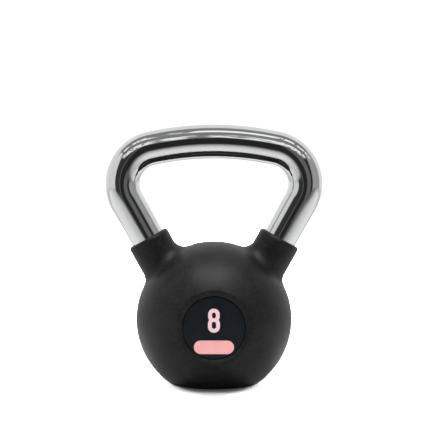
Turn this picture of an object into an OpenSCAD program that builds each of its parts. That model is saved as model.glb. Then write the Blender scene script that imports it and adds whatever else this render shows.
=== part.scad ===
// Rubber-covered kettlebell with a bent tube handle and a round front badge.
// Millimetres. The origin is the middle of the flat base, +Z is up and the badge faces -Y.

/* [Ball] */
// Diameter of the ball over its rubber
ball_d = 138; // [130:1:150]
// Height of the ball's centre above the floor
ball_h = 56; // [52:0.5:60]
// Radius of the rounded edge around the flat base
base_edge_r = 2.5; // [1:0.5:5]
// Thickness of the rubber over the iron core
rubber_t = 7.5; // [6:0.5:9]

/* [Handle] */
// Outer diameter of the tube
tube_d = 30; // [27:0.5:33]
// Wall thickness of the tube
tube_wall = 4; // [2.5:0.5:6]
// Height of the top bar's centreline above the floor
top_h = 213.5; // [208:0.5:218]
// Centreline radius of the gently arched top bar
arch_r = 260; // [250:5:280]
// Angle from the middle of the arch to where a corner bend begins
arch_half_a = 12.4; // [11:0.1:13]
// Centreline radius of the two corner bends
bend_r = 32; // [30:1:34]
// Turn of each corner bend, from the end of the arch to the leg
bend_a = 106.7; // [106:0.1:108]
// Length of straight tube between a corner bend and its collar
leg_above_mouth = 37; // [33:0.5:40]
// Length of tube below a collar's mouth
leg_below_mouth = 71; // [60:1:74]

/* [Collars] */
// Outer diameter of a collar
collar_d = 38; // [35:0.5:41]
// Radius of the rounded rim at a collar's mouth
rim_r = 3; // [1:0.5:3]
// Radius of the fillet where a collar grows out of the ball
fillet_r = 11; // [6:1:14]

/* [Cross pins] */
// Diameter of the pin through each tube end
pin_d = 8; // [6:0.5:10]
// Distance of a pin from its collar's mouth, along the leg
pin_below_mouth = 52; // [46:1:58]
// Front end of a pin, in front of the middle plane
pin_front = 24; // [20:1:28]
// Back end of a pin, behind the middle plane
pin_back = 38; // [30:1:40]

/* [Badge] */
// Diameter of the badge disc
badge_d = 52.4; // [46:0.2:56]
// Distance of the badge's face in front of the ball's centre
badge_face = 60; // [59:0.5:61]
// Thickness of the badge disc
badge_t = 1.5; // [1:0.1:2]
// Thickness of the adhesive pad behind the disc
adhesive_t = 0.5; // [0.3:0.1:0.8]
// Width of the open groove around the disc
groove_w = 1; // [0.5:0.1:1.5]
// Diameter of the sloping shoulder around the badge, where it meets the ball
shoulder_d = 62; // [60:0.5:64]
// Thickness of the raised inlays on the badge
inlay_t = 0.3; // [0.2:0.1:0.6]

/* [Numeral] */
// Stroke width of the figure eight
stroke_w = 3.3; // [2.5:0.1:3.5]
// Width of the figure's upper loop
upper_w = 9.8; // [9:0.1:10.5]
// Width of the figure's lower loop
lower_w = 10.2; // [9.4:0.1:11]

/* [Colour bar] */
// Length of the bar across the lower part of the badge
bar_w = 34; // [28:1:35]
// Height of the bar
bar_h = 11.5; // [9:0.5:12]
// Distance of the bar's middle below the badge's centre
bar_drop = 16.4; // [15:0.2:17]

/* [Hidden] */
$fn = 96;

// Radial gap left between pieces that are bonded or driven together
fit_gap = 0.05;
// Length that makes a cutter run clear through a wall
through = 20;

ball_r = ball_d / 2;
core_r = ball_r - rubber_t;
core_centre_h = ball_h - rubber_t;
tube_r = tube_d / 2;
collar_r = collar_d / 2;
badge_r = badge_d / 2;

// Floor of the badge pocket, and the flat on the core that leaves rubber under it
pocket_floor = badge_face - badge_t - adhesive_t;
core_flat = pocket_floor - 3.5;
pocket_r = badge_r + groove_w;
adhesive_r = badge_r - 2;

// Lean of each leg from upright, and the right leg's direction, downwards, as [x, z]
leg_lean = arch_half_a + bend_a - 90;
leg_down = [-sin(leg_lean), -cos(leg_lean)];

// Centres of the arch and of the right corner bend, and of the mouth of the right collar
arch_h = top_h - arch_r;
bend_c = [0, arch_h] + (arch_r - bend_r) * [sin(arch_half_a), cos(arch_half_a)];
mouth = bend_c + bend_r * [cos(leg_lean), -sin(leg_lean)] + leg_above_mouth * leg_down;

// Where a collar's axis leaves the ball, seen from the ball's centre
mouth_rel = mouth - [0, ball_h];
mouth_up = -(mouth_rel * leg_down);
collar_len = mouth_up - sqrt(mouth_up * mouth_up - mouth_rel * mouth_rel + ball_r * ball_r);
root_rel = mouth_rel + collar_len * leg_down;
root_lean = atan2(root_rel[0], root_rel[1]);

// Turn of the legs, and the end of the right one. Turns run clockwise from the crown.
leg_turn = arch_half_a + bend_a;
leg_end = mouth + leg_below_mouth * leg_down;

// Sides round the handle, and steps along the arch and along each bend
sweep_sides = 32;
arch_steps = 6;
bend_steps = 12;

// Stations along the centreline, each [turn, centre], from the left leg's end to the right one's
arch_turns = [for (i = [1:arch_steps / 2]) arch_half_a * i * 2 / arch_steps];
bend_turns = [for (i = [1:bend_steps]) arch_half_a + bend_a * i / bend_steps];
right_side = concat(
    [for (a = arch_turns) [a, [0, arch_h] + arch_r * [sin(a), cos(a)]]],
    [for (a = bend_turns) [a, bend_c + bend_r * [sin(a), cos(a)]]],
    [[leg_turn, leg_end]]);
side_n = len(right_side);
left_side = [for (i = [side_n - 1:-1:0]) let (s = right_side[i]) [-s[0], [-s[1][0], s[1][1]]]];
stations = concat(left_side, [[0, [0, top_h]]], right_side);
station_n = len(stations);

// Rings of points round the stations, the outer wall's first and then the inner wall's
wall_points = [for (r = [tube_r, tube_r - tube_wall]) for (s = stations) for (k = [0:sweep_sides - 1])
    let (a = k * 360 / sweep_sides)
    [s[1][0] + r * cos(a) * sin(s[0]), r * sin(a), s[1][1] + r * cos(a) * cos(s[0])]];

// Number of the point at place k of ring i on the outer wall or, for wall 1, on the inner one
function point_no(wall, i, k) = (wall * station_n + i) * sweep_sides + k % sweep_sides;

// Four-sided face at place k between two rings, each [wall, station]
function between(ring, next, k) = [
    point_no(ring[0], ring[1], k),
    point_no(next[0], next[1], k),
    point_no(next[0], next[1], k + 1),
    point_no(ring[0], ring[1], k + 1)];

// Pairs of neighbouring rings: along the outer wall, round an end, back along the inner wall
// and round the other end
ring_pairs = concat(
    [for (i = [1:station_n - 1]) [[0, i - 1], [0, i]]],
    [[[0, station_n - 1], [1, station_n - 1]]],
    [for (i = [station_n - 1:-1:1]) [[1, i], [1, i - 1]]],
    [[[1, 0], [0, 0]]]);
wall_faces = [for (p = ring_pairs) for (k = [0:sweep_sides - 1]) between(p[0], p[1], k)];

// The pin's place on the leg, as [x, z]
pin_at = mouth + pin_below_mouth * leg_down;

// Loops of the figure eight: [middle height above the badge's centre, height, width]
upper_loop = [10.75, 11.6, upper_w];
lower_loop = [2.4, 12.6, lower_w];

// Right half of the outline of a ball of radius r that stands on a flat base, h below its
// centre, with the base's edge rounded to radius e
module ball_outline(r, h, e) {
    edge_x = sqrt((r - e) * (r - e) - (h - e) * (h - e));
    ray = [edge_x, e - h] * (2 * r / (r - e));
    intersection() {
        circle(r);
        polygon([[0, 0], ray, [2 * r, 0], [2 * r, 2 * r], [0, 2 * r]]);
    }
    translate([edge_x, e - h]) circle(e);
    polygon([[0, 0], [0, -h], [edge_x, -h], [edge_x, e - h]]);
}

module flat_based_ball(r, h, e) {
    translate([0, 0, ball_h]) rotate_extrude($fn = 144) ball_outline(r, h, e);
}

// Copies its children to the left and right legs
module both_sides() {
    children();
    mirror([1, 0, 0]) children();
}

// Places its children on the right leg: origin at the collar's mouth, +Z up the leg
module at_mouth() {
    translate([mouth[0], 0, mouth[1]]) rotate([0, leg_lean, 0]) children();
}

// Bore for one leg of the tube, from the tube's end to outside the collar
module leg_bore() {
    at_mouth() translate([0, 0, -leg_below_mouth])
        cylinder(r = tube_r + fit_gap, h = leg_below_mouth + through);
}

// One pin, grown by g all round, that reaches from the front to the given back end
module cross_pin(g, back) {
    translate([pin_at[0], back, pin_at[1]]) rotate([90, 0, 0])
        cylinder(d = pin_d + 2 * g, h = back + pin_front + g);
}

// Cylinder of radius r that faces forwards, from y = -near to y = -far
module facing(r, near, far) {
    translate([0, -near, ball_h]) rotate([90, 0, 0]) cylinder(r = r, h = far - near);
}

// The solid iron shape, grown by g, without its sockets
module core_shape(g) {
    difference() {
        flat_based_ball(core_r + g, core_centre_h + g, base_edge_r);
        facing(ball_r, core_flat + g, ball_d);
    }
}

// Outside of a collar: a straight cylinder with a rounded rim, down into the ball
module collar() {
    at_mouth() rotate_extrude() {
        translate([0, -collar_len - ball_r / 2]) square([collar_r, collar_len + ball_r / 2 - rim_r]);
        translate([0, -rim_r]) square([collar_r - rim_r, rim_r]);
        translate([collar_r - rim_r, -rim_r]) circle(rim_r);
    }
}

// Hollow flare that blends a collar into the ball, round the line from the ball's centre
module collar_root() {
    side = collar_r - 1;
    rise = sqrt(pow(ball_r + fillet_r, 2) - pow(side + fillet_r, 2));
    translate([0, 0, ball_h]) rotate([0, root_lean, 0]) rotate_extrude() difference() {
        polygon([[0, 0], [side + fillet_r, rise], [0, rise]]);
        translate([side + fillet_r, rise]) circle(fillet_r);
    }
}

// Recess in the rubber for the badge: a sloping shoulder, then a flat-bottomed pocket
module badge_recess() {
    shoulder_r = shoulder_d / 2;
    rim_y = sqrt(ball_r * ball_r - shoulder_r * shoulder_r);
    slope = (shoulder_r - pocket_r) / (rim_y - badge_face);
    facing(pocket_r, pocket_floor, ball_d);
    translate([0, -badge_face, ball_h]) rotate([90, 0, 0])
        cylinder(r1 = pocket_r, r2 = pocket_r + slope * through, h = through);
}

// Flat solid on the badge's face, from a 2D outline drawn in X and height
module inlay() {
    translate([0, -badge_face, ball_h]) rotate([90, 0, 0]) linear_extrude(inlay_t) children();
}

// Upright slot shape of overall height h and width w, centred on the height z
module slot_outline(z, h, w) {
    translate([0, z]) {
        square([w, h - w], center = true);
        translate([0, (h - w) / 2]) circle(d = w);
        translate([0, (w - h) / 2]) circle(d = w);
    }
}

module iron_core() {
    color("dimgray") difference() {
        core_shape(0);
        both_sides() leg_bore();
        both_sides() cross_pin(fit_gap, ball_r);
    }
}

module rubber_jacket() {
    color("#2b2b2c") difference() {
        union() {
            flat_based_ball(ball_r, ball_h, base_edge_r);
            both_sides() collar();
            both_sides() collar_root();
        }
        core_shape(fit_gap);
        both_sides() leg_bore();
        badge_recess();
    }
}

module handle_tube() {
    color("silver") difference() {
        polyhedron(points = wall_points, faces = wall_faces, convexity = 8);
        both_sides() cross_pin(fit_gap, pin_back);
    }
}

module right_cross_pin() {
    color("gray") cross_pin(0, pin_back);
}

module left_cross_pin() {
    color("gray") mirror([1, 0, 0]) cross_pin(0, pin_back);
}

module badge_adhesive() {
    color("white") facing(adhesive_r, pocket_floor, pocket_floor + adhesive_t);
}

module badge_disc() {
    color("#1c1f22") facing(badge_r, pocket_floor + adhesive_t, badge_face);
}

module badge_numeral() {
    color("#f0c8cd") inlay() difference() {
        for (loop = [upper_loop, lower_loop]) slot_outline(loop[0], loop[1], loop[2]);
        for (loop = [upper_loop, lower_loop])
            slot_outline(loop[0], loop[1] - 2 * stroke_w, loop[2] - 2 * stroke_w);
    }
}

module badge_colour_bar() {
    color("#fab4b2") inlay() translate([0, -bar_drop]) rotate(90) slot_outline(0, bar_w, bar_h);
}

iron_core();
rubber_jacket();
handle_tube();
left_cross_pin();
right_cross_pin();
badge_adhesive();
badge_disc();
badge_numeral();
badge_colour_bar();
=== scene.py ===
import math

import bmesh
import bpy
import numpy as np
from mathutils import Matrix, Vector
from mathutils.geometry import delaunay_2d_cdt


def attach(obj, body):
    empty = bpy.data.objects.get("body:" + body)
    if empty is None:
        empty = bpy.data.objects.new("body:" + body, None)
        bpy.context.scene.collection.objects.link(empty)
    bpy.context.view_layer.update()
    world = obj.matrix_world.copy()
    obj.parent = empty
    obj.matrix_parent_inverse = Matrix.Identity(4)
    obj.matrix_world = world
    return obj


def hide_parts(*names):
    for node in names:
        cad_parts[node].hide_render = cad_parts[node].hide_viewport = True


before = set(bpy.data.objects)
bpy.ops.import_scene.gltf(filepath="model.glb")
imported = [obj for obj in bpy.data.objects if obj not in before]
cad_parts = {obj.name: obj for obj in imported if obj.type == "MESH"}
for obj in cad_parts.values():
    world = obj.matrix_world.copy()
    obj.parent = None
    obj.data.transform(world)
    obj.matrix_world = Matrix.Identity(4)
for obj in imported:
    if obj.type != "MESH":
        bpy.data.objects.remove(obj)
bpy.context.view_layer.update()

# Sizes of the CAD, in millimetres. Meshes are built in millimetres and stored in metres.
MM = 0.001
BALL_R, BALL_H, BASE_EDGE_R = 69.0, 56.0, 2.5
FIT_GAP = 0.05
CORE_R = 61.5 + FIT_GAP
CORE_H = 48.5 + FIT_GAP
CORE_FLAT = 54.5 + FIT_GAP
TUBE_R, TUBE_WALL = 15.0, 4.0
TOP_H, ARCH_R, BEND_R = 213.5, 260.0, 32.0
ARCH_HALF, BEND = math.radians(12.4), math.radians(106.7)
LEG_ABOVE, LEG_BELOW = 37.0, 71.0
COLLAR_R, RIM_R, FILLET_R = 19.0, 3.0, 11.0
PIN_D, PIN_BELOW = 8.0, 52.0
BADGE_R, BADGE_FACE, BADGE_T, ADHESIVE_T = 26.2, 60.0, 1.5, 0.5
POCKET_R, SHOULDER_R, INLAY_T = 27.2, 31.0, 0.3
STROKE = 3.3
UPPER, LOWER = (10.75, 11.6, 9.8), (2.4, 12.6, 10.2)
BAR_W, BAR_H, BAR_DROP = 34.0, 11.5, 16.4

CENTRE = np.array([0.0, 0.0, BALL_H])
LEAN = ARCH_HALF + BEND - math.pi / 2
ARCH_H = TOP_H - ARCH_R
BEND_X = (ARCH_R - BEND_R) * math.sin(ARCH_HALF)
BEND_Z = ARCH_H + (ARCH_R - BEND_R) * math.cos(ARCH_HALF)
MOUTH_X = BEND_X + BEND_R * math.cos(LEAN) - LEG_ABOVE * math.sin(LEAN)
MOUTH_Z = BEND_Z - BEND_R * math.sin(LEAN) - LEG_ABOVE * math.cos(LEAN)


# Mesh building


class Shell:
    """Points and faces of one piece, built from rings of points."""

    def __init__(self):
        self.points = []
        self.faces = []

    def ring(self, points):
        first = len(self.points)
        self.points.extend(tuple(float(x) for x in p) for p in points)
        return list(range(first, len(self.points)))

    def at(self, ring):
        return np.array([self.points[i] for i in ring])

    def strip(self, a, b):
        n = len(a)
        for i in range(n):
            j = (i + 1) % n
            self.faces.append((a[i], a[j], b[j], b[i]))

    def rows(self, start, rows):
        """Strips from the ring start through every row of points. Returns the last ring."""
        for row in rows:
            ring = self.ring(row)
            self.strip(start, ring)
            start = ring
        return start

    def cap(self, ring, shares=(0.97, 0.85, 0.7, 0.55, 0.4, 0.25, 0.12)):
        """Closes a flat ring with rings that shrink to its middle."""
        outer = self.at(ring)
        middle = outer.mean(0)
        last = self.rows(ring, [middle + (outer - middle) * s for s in shares])
        tip = self.ring([middle])[0]
        for i, p in enumerate(last):
            self.faces.append((p, last[(i + 1) % len(last)], tip))


def piece(name, shell, material, nodes, sharp=35):
    mesh = bpy.data.meshes.new(name)
    mesh.from_pydata([tuple(c * MM for c in p) for p in shell.points], [], shell.faces)
    bm = bmesh.new()
    bm.from_mesh(mesh)
    bmesh.ops.recalc_face_normals(bm, faces=bm.faces)
    if bm.calc_volume(signed=True) < 0:
        bmesh.ops.reverse_faces(bm, faces=bm.faces)
    bm.to_mesh(mesh)
    bm.free()
    mesh.shade_smooth()
    mesh.set_sharp_from_angle(angle=math.radians(sharp))
    mesh.materials.append(material)
    obj = bpy.data.objects.new(name, mesh)
    bpy.context.scene.collection.objects.link(obj)
    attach(obj, "root")
    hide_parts(*nodes)
    return obj


def turn(n, first=0.0):
    return first + np.arange(n) * 2 * math.pi / n


def arc(a, b, n):
    """n angles from a to b in degrees, without a, in radians."""
    return [math.radians(a + (b - a) * i / n) for i in range(1, n + 1)]


def inside(loop, points):
    """Which 2D points lie inside a closed loop."""
    hit = np.zeros(len(points), bool)
    for a, b in zip(loop, np.roll(loop, -1, axis=0)):
        crosses = (a[1] > points[:, 1]) != (b[1] > points[:, 1])
        if crosses.any():
            x = a[0] + (points[:, 1] - a[1]) * (b[0] - a[0]) / (b[1] - a[1] + 1e-30)
            hit ^= crosses & (points[:, 0] < x)
    return hit


def triangles_between(points, loops):
    """Delaunay triangles over 2D points, where loops are lists of point numbers. The first loop is
    the outside and the others are holes, which no triangle fills."""
    edges = [(r[i], r[(i + 1) % len(r)]) for r in loops for i in range(len(r))]
    made = delaunay_2d_cdt([Vector(p) for p in points], edges, [], 0, 1e-9, True)
    old = [o[0] for o in made[3]]
    hole = {}
    for number, loop in enumerate(loops[1:]):
        hole.update((i, number) for i in loop)
    kept = []
    for face in made[2]:
        tri = tuple(old[i] for i in face)
        holes = {hole.get(i) for i in tri}
        if len(holes) > 1 or None in holes:
            kept.append(tri)
    return kept


def ball_patch(shell, radius, loops, spacing):
    """Fills a ball with even triangles between rings on it. The ring round the base comes first."""
    count = int(4 * math.pi * radius**2 / (spacing**2 * 0.866))
    i = np.arange(count)
    z = 1 - (2 * i + 1) / count
    a = i * math.pi * (3 - math.sqrt(5))
    even = np.stack([np.cos(a), np.sin(a), z], 1) * np.sqrt(
        np.stack([1 - z * z, 1 - z * z, np.ones(count)], 1)
    )

    def flat(p):
        return p[:, :2] / (1 + p[:, 2:3])

    rings = [(shell.at(loop) - CENTRE) / radius for loop in loops]
    even = even[even[:, 2] > rings[0][:, 2].max()]
    for number, ring in enumerate(rings):
        where = inside(flat(ring), flat(even))
        even = even[where if number == 0 else ~where]
        gap = np.full(len(even), 9.0)
        for p in ring:
            gap = np.minimum(gap, ((even - p) ** 2).sum(1))
        even = even[gap > (0.72 * spacing / radius) ** 2]
    new = shell.ring(CENTRE + even * radius)
    order = [i for loop in loops for i in loop] + new
    place = {n: i for i, n in enumerate(order)}
    flat_points = flat((shell.at(order) - CENTRE) / radius)
    tris = triangles_between(flat_points, [[place[i] for i in loop] for loop in loops])
    shell.faces.extend(tuple(order[i] for i in tri) for tri in tris)


def upright(r, z, n=160):
    a = turn(n)
    return np.stack([r * np.cos(a), r * np.sin(a), np.full(n, z)], 1)


def forward(r, y, n=160):
    """Ring of radius r that faces the front, at the distance y before the ball's centre."""
    a = turn(n)
    return np.stack([r * np.cos(a), np.full(n, -y), BALL_H + r * np.sin(a)], 1)


def base_rows(radius, height):
    """From the ball down round the rounded edge to the flat base, height below the centre."""
    e = BASE_EDGE_R
    edge_x = math.sqrt((radius - e) ** 2 - (height - e) ** 2)
    start = math.degrees(math.atan2(e - height, edge_x))
    z0 = BALL_H + e - height
    first = math.radians(start)
    rows = [upright(edge_x + e * math.cos(first), z0 + e * math.sin(first))]
    for a in arc(start, -90, 8):
        rows.append(upright(edge_x + e * math.cos(a), z0 + e * math.sin(a)))
    return rows


def unit(v):
    return v / np.linalg.norm(v, axis=-1, keepdims=True)


def collar_rows(side, n=144):
    """From the ball up the fillet and the collar, over its rim and down the bore to the core."""
    up = np.array([side * math.sin(LEAN), 0, math.cos(LEAN)])
    across = np.array([side * math.cos(LEAN), 0, -math.sin(LEAN)])
    mouth = np.array([side * MOUTH_X, 0, MOUTH_Z])
    a = turn(n)[:, None]
    out = np.cos(a) * across + np.sin(a) * np.array([0, 1.0, 0])
    offset = CENTRE - mouth
    off_up, off_across = offset @ up, offset @ across

    def height(axis_distance, ball_distance):
        """Height on the leg's axis where both distances are met, at every angle."""
        rho2 = (axis_distance * np.cos(a) - off_across) ** 2 + (axis_distance * np.sin(a)) ** 2
        return off_up + np.sqrt(ball_distance**2 - rho2)

    h = height(COLLAR_R + FILLET_R, BALL_R + FILLET_R)
    middle = mouth + (COLLAR_R + FILLET_R) * out + h * up
    to_ball, to_axis = unit(CENTRE - middle), -out
    whole = np.arccos((to_ball * to_axis).sum(1, keepdims=True))
    rows = []
    for t in np.linspace(0, 1, 15):
        v = (np.sin((1 - t) * whole) * to_ball + np.sin(t * whole) * to_axis) / np.sin(whole)
        rows.append(middle + FILLET_R * v)
    for t in (0.2, 0.4, 0.6, 0.8, 1):
        rows.append(mouth + COLLAR_R * out + (h + (-RIM_R - h) * t) * up)
    for t in arc(0, 90, 9):
        r = COLLAR_R - RIM_R + RIM_R * math.cos(t)
        rows.append(mouth + r * out + (RIM_R * math.sin(t) - RIM_R) * up)
    bore, soft = TUBE_R + FIT_GAP, 0.35
    for t in [0.0] + arc(0, 90, 4):
        r = bore + soft - soft * math.sin(t)
        rows.append(mouth + r * out + (soft * math.cos(t) - soft) * up)
    deep = height(bore, CORE_R)
    for t in (0.06, 0.3, 0.65, 1):
        rows.append(mouth + bore * out + (-soft + (deep + soft) * t) * up)
    return rows


def badge_rows():
    """From the ball over the rounded shoulder and down the slope into the badge's pocket."""
    rim_y = math.sqrt(BALL_R**2 - SHOULDER_R**2)
    corner = np.array([POCKET_R, BADGE_FACE])
    along = unit(np.array([SHOULDER_R - POCKET_R, rim_y - BADGE_FACE]))
    normal = np.array([-along[1], along[0]])
    big, small = 3.0, 0.35
    base = corner - big * normal
    b, c = base @ along, base @ base - (BALL_R - big) ** 2
    middle = base + (-b + math.sqrt(b * b - c)) * along
    first, last = math.atan2(middle[1], middle[0]), math.atan2(normal[1], normal[0])
    turns = np.linspace(first, last, 11)
    profile = [middle + big * np.array([math.cos(t), math.sin(t)]) for t in turns]
    middle = corner + np.array([small, -small * (1 + normal[0]) / normal[1]])
    end = profile[-1]
    start = middle + small * normal
    profile += [end + (start - end) * t for t in (0.35, 0.7)]
    for t in np.linspace(last, math.pi, 6):
        profile.append(middle + small * np.array([math.cos(t), math.sin(t)]))
    floor = BADGE_FACE - BADGE_T - ADHESIVE_T
    profile += [np.array([POCKET_R, y]) for y in (59.2, 58.6, floor)]
    return [forward(r, y) for r, y in profile]


def jacket_shell():
    s = Shell()
    outer, inner = [], []
    rows = base_rows(BALL_R, BALL_H)
    ring = s.ring(rows[0])
    outer.append(ring)
    s.cap(s.rows(ring, rows[1:]))
    rows = base_rows(CORE_R, CORE_H)
    ring = s.ring(rows[0])
    inner.append(ring)
    s.cap(s.rows(ring, rows[1:]))
    for side in (1, -1):
        rows = collar_rows(side)
        ring = s.ring(rows[0])
        outer.append(ring)
        inner.append(s.rows(ring, rows[1:]))
    rows = badge_rows()
    ring = s.ring(rows[0])
    outer.append(ring)
    s.cap(s.rows(ring, rows[1:]))
    ring = s.ring(forward(math.sqrt(CORE_R**2 - CORE_FLAT**2), CORE_FLAT))
    inner.append(ring)
    s.cap(ring)
    ball_patch(s, BALL_R, outer, 2.0)
    ball_patch(s, CORE_R, inner, 4.0)
    return s


def handle_stations():
    """Turn from the crown and centre of every ring along the right half of the tube."""
    half = [(ARCH_HALF * i / 24, 0, 0) for i in range(25)]
    half = [(a, ARCH_R * math.sin(a), ARCH_H + ARCH_R * math.cos(a)) for a, _, _ in half]
    for i in range(1, 73):
        a = ARCH_HALF + BEND * i / 72
        half.append((a, BEND_X + BEND_R * math.sin(a), BEND_Z + BEND_R * math.cos(a)))
    a, x, z = half[-1]
    length = LEG_ABOVE + LEG_BELOW
    for i in range(1, 19):
        d = length * i / 18
        half.append((a, x + d * math.cos(a), z - d * math.sin(a)))
    return [(-a, -x, z) for a, x, z in half[:0:-1]] + half


def handle_shell():
    s = Shell()
    stations = handle_stations()
    inner_r = TUBE_R - TUBE_WALL
    a = turn(96)

    def row(station, r, ahead=0.0):
        t, x, z = station
        return np.stack(
            [
                x + ahead * math.cos(t) + r * np.cos(a) * math.sin(t),
                r * np.sin(a),
                z - ahead * math.sin(t) + r * np.cos(a) * math.cos(t),
            ],
            1,
        )

    soft = 0.6
    first, last = stations[0], stations[-1]
    rows = [row(first, TUBE_R, soft)]
    rows += [row(p, TUBE_R) for p in stations[1:-1]]
    rows += [row(last, TUBE_R, -soft), row(last, TUBE_R - soft), row(last, inner_r + soft)]
    rows += [row(last, inner_r, -soft)]
    rows += [row(p, inner_r) for p in stations[-2:0:-1]]
    rows += [row(first, inner_r, soft), row(first, inner_r + soft), row(first, TUBE_R - soft)]
    start = s.ring(rows[0])
    s.strip(s.rows(start, rows[1:]), start)
    return s


def drill(obj, sides):
    """Cuts the pins' holes through the tube's ends, which are hidden inside the ball."""
    cutters = []
    for side in sides:
        x = side * (MOUTH_X - PIN_BELOW * math.sin(LEAN))
        z = MOUTH_Z - PIN_BELOW * math.cos(LEAN)
        mesh = bpy.data.meshes.new("cutter")
        bm = bmesh.new()
        bmesh.ops.create_cone(
            bm, cap_ends=True, segments=64, depth=50 * MM,
            radius1=(PIN_D / 2 + FIT_GAP) * MM, radius2=(PIN_D / 2 + FIT_GAP) * MM,
        )
        for v in bm.verts:
            v.co = (v.co.x + x * MM, v.co.z, -v.co.y + z * MM)
        bm.to_mesh(mesh)
        bm.free()
        cutter = bpy.data.objects.new("cutter", mesh)
        bpy.context.scene.collection.objects.link(cutter)
        mod = obj.modifiers.new("hole", "BOOLEAN")
        mod.operation = "DIFFERENCE"
        mod.solver = "EXACT"
        mod.object = cutter
        cutters.append(cutter)
    graph = bpy.context.evaluated_depsgraph_get()
    cut = bpy.data.meshes.new_from_object(obj.evaluated_get(graph))
    obj.modifiers.clear()
    obj.data = cut
    for cutter in cutters:
        bpy.data.objects.remove(cutter)


def slot_loop(z, h, w, n=24):
    """Outline of an upright slot: half circles over and under a straight middle."""
    r, half = w / 2, (h - w) / 2
    top = [(r * math.cos(t), z + half + r * math.sin(t)) for t in np.linspace(0, math.pi, n)]
    under = np.linspace(math.pi, 2 * math.pi, n)
    low = [(r * math.cos(t), z - half + r * math.sin(t)) for t in under]
    return np.array(top + low)


def eight_loop(inset, n=28):
    """Outline of two overlapping slots, which meet at a waist, drawn in by inset."""
    (uz, uh, uw), (lz, lh, lw) = UPPER, LOWER
    ur, lr = uw / 2 - inset, lw / 2 - inset
    u_top, u_low = uz + (uh - uw) / 2, uz - (uh - uw) / 2
    l_top, l_low = lz + (lh - lw) / 2, lz - (lh - lw) / 2
    d = u_low - l_top
    waist = (lr * lr - ur * ur + d * d) / (2 * d)
    x = math.sqrt(lr * lr - waist * waist)
    ua, la = math.atan2(waist - d, x), math.atan2(waist, x)
    right = [(ur * math.cos(t), u_low + ur * math.sin(t)) for t in np.linspace(0, ua, 9)[::-1]]
    over = [(ur * math.cos(t), u_top + ur * math.sin(t)) for t in np.linspace(0, math.pi, n)]
    left = [(-x, y) for x, y in right[::-1]]
    low_left = [(-lr * math.cos(t), l_top + lr * math.sin(t)) for t in np.linspace(la, 0, 9)[1:]]
    turns = np.linspace(math.pi, 2 * math.pi, n)
    under = [(lr * math.cos(t), l_low + lr * math.sin(t)) for t in turns]
    low_right = [(-x, y) for x, y in low_left[::-1]]
    return np.array(right + over + left + low_left + under + low_right)


def fresh_points(points):
    """Which points of a loop differ from the one before."""
    gap = np.linalg.norm(points - np.roll(points, 1, axis=0), axis=1)
    return gap > 1e-6


def inlay_shell(outline, holes):
    """Thin solid on the badge's face with softened front edges. outline and each of holes are
    functions that give a loop for an inset."""
    s = Shell()
    soft = 0.07
    keep = [fresh_points(f(0.0)) for f in [outline] + holes]
    shapes = {
        inset: [f(inset)[k] for f, k in zip([outline] + holes, keep)] for inset in (0.0, soft)
    }
    back_loops, front_loops = [], []

    def placed(loop, lift):
        y = np.full(len(loop), -BADGE_FACE - lift)
        return np.stack([loop[:, 0], y, BALL_H + loop[:, 1]], 1)

    for plain, drawn in zip(shapes[0.0], shapes[soft]):
        back = s.ring(placed(plain, 0.0))
        front = s.rows(back, [placed(plain, INLAY_T - soft), placed(drawn, INLAY_T)])
        back_loops.append(back)
        front_loops.append(front)
    for loops in (back_loops, front_loops):
        order = [i for loop in loops for i in loop]
        place = {n: i for i, n in enumerate(order)}
        points = s.at(order)[:, [0, 2]]
        edges = [[place[i] for i in loop] for loop in loops]
        pairs = [(r[i], r[(i + 1) % len(r)]) for r in edges for i in range(len(r))]
        made = delaunay_2d_cdt([Vector(p) for p in points], pairs, [], 0, 1e-9, True)
        old = [o[0] for o in made[3]]
        tris = [tuple(old[i] for i in f) for f in made[2]]
        middles = np.array([points[list(t)].mean(0) for t in tris])
        wanted = inside(points[edges[0]], middles)
        for hole in edges[1:]:
            wanted &= ~inside(points[hole], middles)
        s.faces.extend(tuple(order[i] for i in t) for t, w in zip(tris, wanted) if w)
    return s


def disc_shell():
    s = Shell()
    back = BADGE_FACE - BADGE_T
    soft = 0.3
    rim = [forward(BADGE_R - 0.1, back), forward(BADGE_R, back + 0.1)]
    rim += [forward(BADGE_R, BADGE_FACE - soft)]
    for t in arc(0, 90, 5):
        r = BADGE_R - soft + soft * math.cos(t)
        rim.append(forward(r, BADGE_FACE - soft + soft * math.sin(t)))
    start = s.ring(rim[0])
    s.cap(s.rows(start, rim[1:]), (0.99, 0.9, 0.8, 0.65, 0.5, 0.35, 0.2, 0.1))
    s.cap(start)
    return s


# Materials


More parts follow.
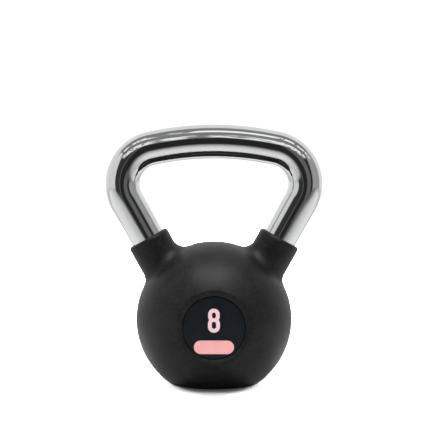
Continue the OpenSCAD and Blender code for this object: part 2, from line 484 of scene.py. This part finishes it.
class Graph:
    """Short way to write a node tree. A value or another node's socket can feed any input."""

    def __init__(self, tree):
        self.tree = tree
        tree.nodes.clear()

    def put(self, socket, value):
        if isinstance(value, bpy.types.NodeSocket):
            self.tree.links.new(value, socket)
        else:
            socket.default_value = value

    def node(self, kind, inputs=None, **props):
        n = self.tree.nodes.new(kind)
        for key, value in props.items():
            setattr(n, key, value)
        for key, value in (inputs or {}).items():
            self.put(n.inputs[key], value)
        return n

    def math(self, op, *values):
        n = self.node("ShaderNodeMath", operation=op)
        for socket, value in zip(n.inputs, values):
            self.put(socket, value)
        return n.outputs[0]

    def map(self, value, a, b, c, d, smooth=True):
        kind = "SMOOTHSTEP" if smooth else "LINEAR"
        inputs = {0: value, 1: a, 2: b, 3: c, 4: d}
        return self.node("ShaderNodeMapRange", inputs, interpolation_type=kind).outputs[0]

    def noise(self, at, scale, detail=2.0, rough=0.5):
        n = self.node(
            "ShaderNodeTexNoise",
            {"Vector": at, "Scale": scale, "Detail": detail, "Roughness": rough},
        )
        return n.outputs["Fac"]

    def mix(self, share, a, b):
        n = self.node("ShaderNodeMix", data_type="RGBA")
        self.put(n.inputs[0], share)
        self.put(n.inputs[6], a)
        self.put(n.inputs[7], b)
        return n.outputs[2]

    def bump(self, height, strength, distance, normal=None):
        inputs = {"Height": height, "Strength": strength, "Distance": distance}
        n = self.node("ShaderNodeBump", inputs)
        if normal is not None:
            self.put(n.inputs["Normal"], normal)
        return n.outputs["Normal"]


def new_material(name):
    mat = bpy.data.materials.new(name)
    mat.use_nodes = True
    g = Graph(mat.node_tree)
    at = g.node("ShaderNodeTexCoord").outputs["Object"]
    shader = g.node("ShaderNodeBsdfPrincipled")
    out = g.node("ShaderNodeOutputMaterial")
    g.put(out.inputs["Surface"], shader.outputs[0])
    return mat, g, at, shader.inputs


def rubber():
    mat, g, at, into = new_material("jacket rubber")
    fine = g.noise(at, 1400.0, 3.0, 0.6)
    grain = g.noise(at, 420.0, 3.0, 0.6)
    blotch = g.noise(at, 90.0, 3.0, 0.55)
    tone = g.math("ADD", g.math("MULTIPLY", grain, 0.6), g.math("MULTIPLY", blotch, 0.4))
    tone = g.map(tone, 0.35, 0.65, 0.0, 1.0)
    g.put(into["Base Color"], g.mix(tone, (0.004, 0.004, 0.0042, 1), (0.0095, 0.0095, 0.0097, 1)))
    g.put(into["Roughness"], g.map(grain, 0.3, 0.7, 0.36, 0.46))
    into["Specular IOR Level"].default_value = 0.17
    near = g.bump(grain, 0.35, 0.0003)
    g.put(into["Normal"], g.bump(fine, 0.3, 0.0001, near))
    return mat


def chrome():
    mat, g, at, into = new_material("handle chrome")
    haze = g.noise(at, 60.0, 4.0, 0.6)
    g.put(into["Base Color"], g.mix(haze, (0.6, 0.605, 0.61, 1), (0.66, 0.665, 0.67, 1)))
    into["Metallic"].default_value = 1.0
    g.put(into["Roughness"], g.map(haze, 0.3, 0.7, 0.02, 0.05))
    wave = g.noise(at, 45.0, 1.0, 0.4)
    g.put(into["Normal"], g.bump(wave, 0.06, 0.0004))
    return mat


def iron():
    mat, g, at, into = new_material("core iron")
    sand = g.noise(at, 700.0, 4.0, 0.65)
    patch = g.noise(at, 60.0, 3.0, 0.5)
    g.put(into["Base Color"], g.mix(patch, (0.07, 0.07, 0.072, 1), (0.15, 0.148, 0.145, 1)))
    into["Metallic"].default_value = 0.7
    g.put(into["Roughness"], g.map(sand, 0.3, 0.7, 0.55, 0.75))
    g.put(into["Normal"], g.bump(sand, 0.5, 0.0004))
    return mat


def pin_steel():
    mat, g, at, into = new_material("pin steel")
    stretched = g.node("ShaderNodeMapping", {"Vector": at, "Scale": (1.0, 0.05, 1.0)}).outputs[0]
    drawn = g.noise(stretched, 900.0, 3.0, 0.6)
    g.put(into["Base Color"], g.mix(drawn, (0.42, 0.42, 0.43, 1), (0.56, 0.56, 0.57, 1)))
    into["Metallic"].default_value = 1.0
    g.put(into["Roughness"], g.map(drawn, 0.3, 0.7, 0.28, 0.42))
    g.put(into["Normal"], g.bump(drawn, 0.2, 0.0001))
    return mat


def foam():
    mat, g, at, into = new_material("adhesive foam")
    cells = g.node("ShaderNodeTexVoronoi", {"Vector": at, "Scale": 1500.0}).outputs["Distance"]
    g.put(into["Base Color"], g.mix(cells, (0.66, 0.66, 0.63, 1), (0.8, 0.8, 0.77, 1)))
    into["Roughness"].default_value = 0.85
    g.put(into["Normal"], g.bump(cells, 0.5, 0.0002))
    return mat


def plastic(name, dark, light, rough, depth):
    """Satin plastic or print: a faint cloud in its colour and a fine surface."""
    mat, g, at, into = new_material(name)
    into["Specular IOR Level"].default_value = 0.15
    cloud = g.noise(at, 120.0, 3.0, 0.55)
    fine = g.noise(at, 1800.0, 2.0, 0.5)
    g.put(into["Base Color"], g.mix(g.map(cloud, 0.35, 0.65, 0.0, 1.0), dark, light))
    g.put(into["Roughness"], g.map(fine, 0.3, 0.7, rough - 0.04, rough + 0.04))
    g.put(into["Normal"], g.bump(fine, 0.2, depth))
    return mat


def finish_cad(node, material):
    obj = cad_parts[node]
    obj.data.materials.clear()
    obj.data.materials.append(material)


jacket = piece("jacket", jacket_shell(), rubber(), ["rubber_jacket"])
handle = piece("handle", handle_shell(), chrome(), ["handle_tube"])
drill(handle, (1, -1))
piece(
    "badge_plate", disc_shell(),
    plastic("badge plastic", (0.0035, 0.0055, 0.008, 1), (0.005, 0.007, 0.0095, 1), 0.3, 0.00002),
    ["badge_disc"],
)
upper_hole = (UPPER[0], UPPER[1] - 2 * STROKE, UPPER[2] - 2 * STROKE)
lower_hole = (LOWER[0], LOWER[1] - 2 * STROKE, LOWER[2] - 2 * STROKE)
piece(
    "numeral_eight",
    inlay_shell(
        eight_loop,
        [
            lambda inset, z=z, h=h, w=w: slot_loop(z, h + 2 * inset, w + 2 * inset)
            for z, h, w in (upper_hole, lower_hole)
        ],
    ),
    plastic("numeral print", (0.67, 0.45, 0.485, 1), (0.71, 0.475, 0.51, 1), 0.5, 0.00002),
    ["badge_numeral"],
)
piece(
    "colour_bar",
    inlay_shell(
        lambda inset: slot_loop(0, BAR_W - 2 * inset, BAR_H - 2 * inset)[:, ::-1] * [1, -1]
        - [0, BAR_DROP],
        [],
    ),
    plastic("bar print", (0.665, 0.32, 0.316, 1), (0.7, 0.34, 0.336, 1), 0.5, 0.00002),
    ["badge_colour_bar"],
)
finish_cad("iron_core", iron())
steel = pin_steel()
finish_cad("left_cross_pin", steel)
finish_cad("right_cross_pin", steel)
finish_cad("badge_adhesive", foam())


# Stage: a pale floor, a studio sky and soft lights

# Brightness of the floor paper as the camera sees it, over what it throws back on the object
FLOOR_SEEN = 0.66

# Shares of the floor's and the sky's brightness in the soft light on the object
FLOOR_BOUNCE, SKY_BOUNCE = 2.0, 0.66
LEFT_WALL, RIGHT_WALL, BACK_WALL = 0.92, 0.45, 1.0
CEILING, FRONT_PANEL, TOP_PANEL, SKY_SEEN = 0.29, 1.3, 1.45, 1.1


def band(g, value, a, b, c, d):
    """Rises from a to b and falls from c to d."""
    return g.math("MULTIPLY", g.map(value, a, b, 0.0, 1.0), g.map(value, c, d, 1.0, 0.0))


def walls(g, dx, dy, low=1.0):
    """Brightness of the studio round the object in the level direction dx, dy."""
    across = g.math("DIVIDE", dx, g.math("MAXIMUM", g.math("MULTIPLY", dy, -1.0), 0.05))
    level = g.map(across, -0.25, -0.4, 0.026, 0.045)
    for edges, strength in (((-0.37, -0.32, -0.27, -0.22), 0.1), ((0.13, 0.25, 0.6, 0.8), 0.14)):
        level = g.math("ADD", level, g.math("MULTIPLY", band(g, across, *edges), strength))
    left = g.math("MULTIPLY", g.map(dx, -0.8, -0.7, 1.0, 0.0), low)
    for value, strength in (
        (left, LEFT_WALL),
        (g.map(dx, 0.68, 0.8, 0.0, 1.0), RIGHT_WALL),
        (g.map(dy, 0.13, 0.33, 0.0, 1.0), BACK_WALL),
    ):
        level = g.math("MAXIMUM", level, g.math("MULTIPLY", value, strength))
    return level


scene = bpy.context.scene
floor_mesh = bpy.data.meshes.new("floor")
floor_mesh.from_pydata(
    [(-6, -6, -0.0001), (6, -6, -0.0001), (6, 6, -0.0001), (-6, 6, -0.0001)], [], [(0, 1, 2, 3)]
)
floor = bpy.data.objects.new("floor", floor_mesh)
scene.collection.objects.link(floor)
mat = bpy.data.materials.new("floor paper")
mat.use_nodes = True
g = Graph(mat.node_tree)
at = g.node("ShaderNodeTexCoord").outputs["Object"]
split = g.node("ShaderNodeSeparateXYZ", {0: at}).outputs
# Painted shade and painted reflection: for every ray but the camera's, the floor is painted darker
# in front of the object, with a lift at the sides, so the chrome reflects dark and light bands;
# diffuse rays see it FLOOR_BOUNCE times brighter, a painted bounce light on the object
side = g.map(split[0], -0.4, 0.4, -0.2, 0.2, False)
ahead = g.math("SUBTRACT", side, split[1])
near = g.map(ahead, 0.12, 0.85, 0.28, 0.026)
far = g.map(ahead, 0.6, 1.3, 1.0, 0.4)
lift = g.map(g.math("ABSOLUTE", split[0]), 0.1, 0.35, 0.0, 0.04)
lift = g.math("MULTIPLY", lift, g.map(ahead, 0.2, 0.5, -0.9, 1.0))
shade = g.math("ADD", g.math("MULTIPLY", near, far), lift)
path = g.node("ShaderNodeLightPath").outputs
seen = path["Is Camera Ray"]
shade = g.math("MULTIPLY", shade, g.map(path["Is Diffuse Ray"], 0.0, 1.0, 1.0, FLOOR_BOUNCE))
shade = g.math("MAXIMUM", shade, g.math("MULTIPLY", seen, FLOOR_SEEN))
shade = g.math("MULTIPLY", shade, g.map(g.noise(at, 900.0, 3.0), 0.0, 1.0, 0.86, 0.9))
colour = g.node("ShaderNodeCombineColor", {0: shade, 1: shade, 2: shade}).outputs[0]
paper = g.node("ShaderNodeBsdfDiffuse", {"Color": colour})
# Far from the object and behind it, all but the camera sees the floor glow as bright as the walls,
# so
# that the chrome shows no horizon: a painted reflection, since the floor is no lamp
squares = g.math("ADD", g.math("POWER", split[0], 2.0), g.math("POWER", split[1], 2.0))
reach = g.math("SQRT", squares)
reach = g.math("MAXIMUM", reach, 0.01)
wall = walls(g, g.math("DIVIDE", split[0], reach), g.math("DIVIDE", split[1], reach))
wall = g.math("MULTIPLY", wall, g.map(reach, 0.3, 2.5, 0.72, 1.0))
colour = g.node("ShaderNodeCombineColor", {0: wall, 1: wall, 2: wall}).outputs[0]
shine = g.node("ShaderNodeEmission", {"Color": colour})
behind = g.map(split[1], 0.05, 0.3, 0.0, 1.0)
away = g.math("MAXIMUM", g.map(reach, 0.5, 2.0, 0.0, 1.0), behind)
away = g.math("MULTIPLY", away, g.math("SUBTRACT", 1.0, seen))
blend = g.node("ShaderNodeMixShader", {0: away, 1: paper.outputs[0], 2: shine.outputs[0]})
g.put(g.node("ShaderNodeOutputMaterial").inputs["Surface"], blend.outputs[0])
floor_mesh.materials.append(mat)

world = bpy.data.worlds.new("studio")
scene.world = world
world.use_nodes = True
g = Graph(world.node_tree)
way = g.node("ShaderNodeTexCoord").outputs["Generated"]
split = g.node("ShaderNodeSeparateXYZ", {0: way}).outputs
dx, dy, dz = split[0], split[1], split[2]


high = g.math("MAXIMUM", dz, 0.02)
cx = g.math("DIVIDE", dx, high)
cy = g.math("DIVIDE", dy, high)
wide_x = g.math("ABSOLUTE", cx)
front_panel = band(g, cy, -2.4, -1.6, -1.1, -0.85)
front_panel = g.math("MULTIPLY", front_panel, g.map(wide_x, 1.3, 1.7, 1.0, 0.0))
top_panel = band(g, cy, -0.49, -0.39, -0.24, -0.1)
top_panel = g.math("MULTIPLY", top_panel, g.map(wide_x, 1.6, 2.2, 1.0, 0.0))
gaps = g.node("ShaderNodeCombineXYZ", {0: g.math("MULTIPLY", cx, 5.0), 1: cy}).outputs[0]
gaps = g.map(g.noise(gaps, 1.3, 2.0, 0.6), 0.4, 0.52, 0.25, 1.0)
front_panel = g.math("MULTIPLY", front_panel, gaps)
top_panel = g.math("MULTIPLY", top_panel, gaps)
ceiling = g.map(dz, 0.25, 0.75, 0.0, 1.0)
sky = walls(g, dx, dy, g.map(dz, 0.5, 0.75, 1.0, 0.0))
for value, level in ((ceiling, CEILING), (front_panel, FRONT_PANEL), (top_panel, TOP_PANEL)):
    sky = g.math("MAXIMUM", sky, g.math("MULTIPLY", value, level))
path = g.node("ShaderNodeLightPath").outputs
sky = g.math("MULTIPLY", sky, g.map(path["Is Diffuse Ray"], 0.0, 1.0, 1.0, SKY_BOUNCE, False))
sky = g.math("MAXIMUM", sky, g.math("MULTIPLY", path["Is Camera Ray"], SKY_SEEN))
colour = g.node("ShaderNodeCombineColor", {0: sky, 1: sky, 2: sky}).outputs[0]
background = g.node("ShaderNodeBackground", {"Color": colour, "Strength": 1.0})
g.put(g.node("ShaderNodeOutputWorld").inputs["Surface"], background.outputs[0])


def area_light(name, place, aim, size, power, glossy):
    data = bpy.data.lights.new(name, "AREA")
    data.shape = "RECTANGLE"
    data.size, data.size_y = size
    data.energy = power
    light = bpy.data.objects.new(name, data)
    light.location = place
    light.rotation_euler = (Vector(aim) - Vector(place)).to_track_quat("-Z", "Y").to_euler()
    light.visible_glossy = glossy
    light.visible_camera = False
    scene.collection.objects.link(light)
    return light


# Low lights from behind brighten the paper alone, so the shadow stays under the front of the ball
for side in (-1, 1):
    low = area_light("paper light", (1.3 * side, 1.5, 0.6), (0, 0, 0), (0.8, 0.5), 240.0, True)
    papers = bpy.data.collections.new("paper light receivers")
    papers.objects.link(floor)
    low.light_linking.receiver_collection = papers
area_light("front fill", (0, -2.2, 0.14), (0, 0, 0.12), (1.2, 0.2), 12.0, False)
top_glow = area_light("top glow", (0, -0.42, 1.55), (0, 0, 0.06), (1.3, 0.9), 20.0, True)
receivers = bpy.data.collections.new("top glow receivers")
receivers.objects.link(jacket)
top_glow.light_linking.receiver_collection = receivers
sun = bpy.data.objects.new("overhead", bpy.data.lights.new("overhead", "SUN"))
sun.data.energy = 4.5
sun.data.angle = math.radians(46)
sun.rotation_euler = (math.radians(4), 0, 0)
sun.visible_glossy = False
scene.collection.objects.link(sun)

camera = bpy.data.objects.new("camera", bpy.data.cameras.new("camera"))
camera.data.sensor_width = 36.0
camera.data.lens = 112.2
camera.data.clip_end = 50.0
camera.location = (0.0009, -1.1865, 0.2166)
camera.rotation_euler = (math.radians(90 - 3.29), 0, 0)
scene.collection.objects.link(camera)
scene.camera = camera
scene.view_settings.view_transform = "Standard"
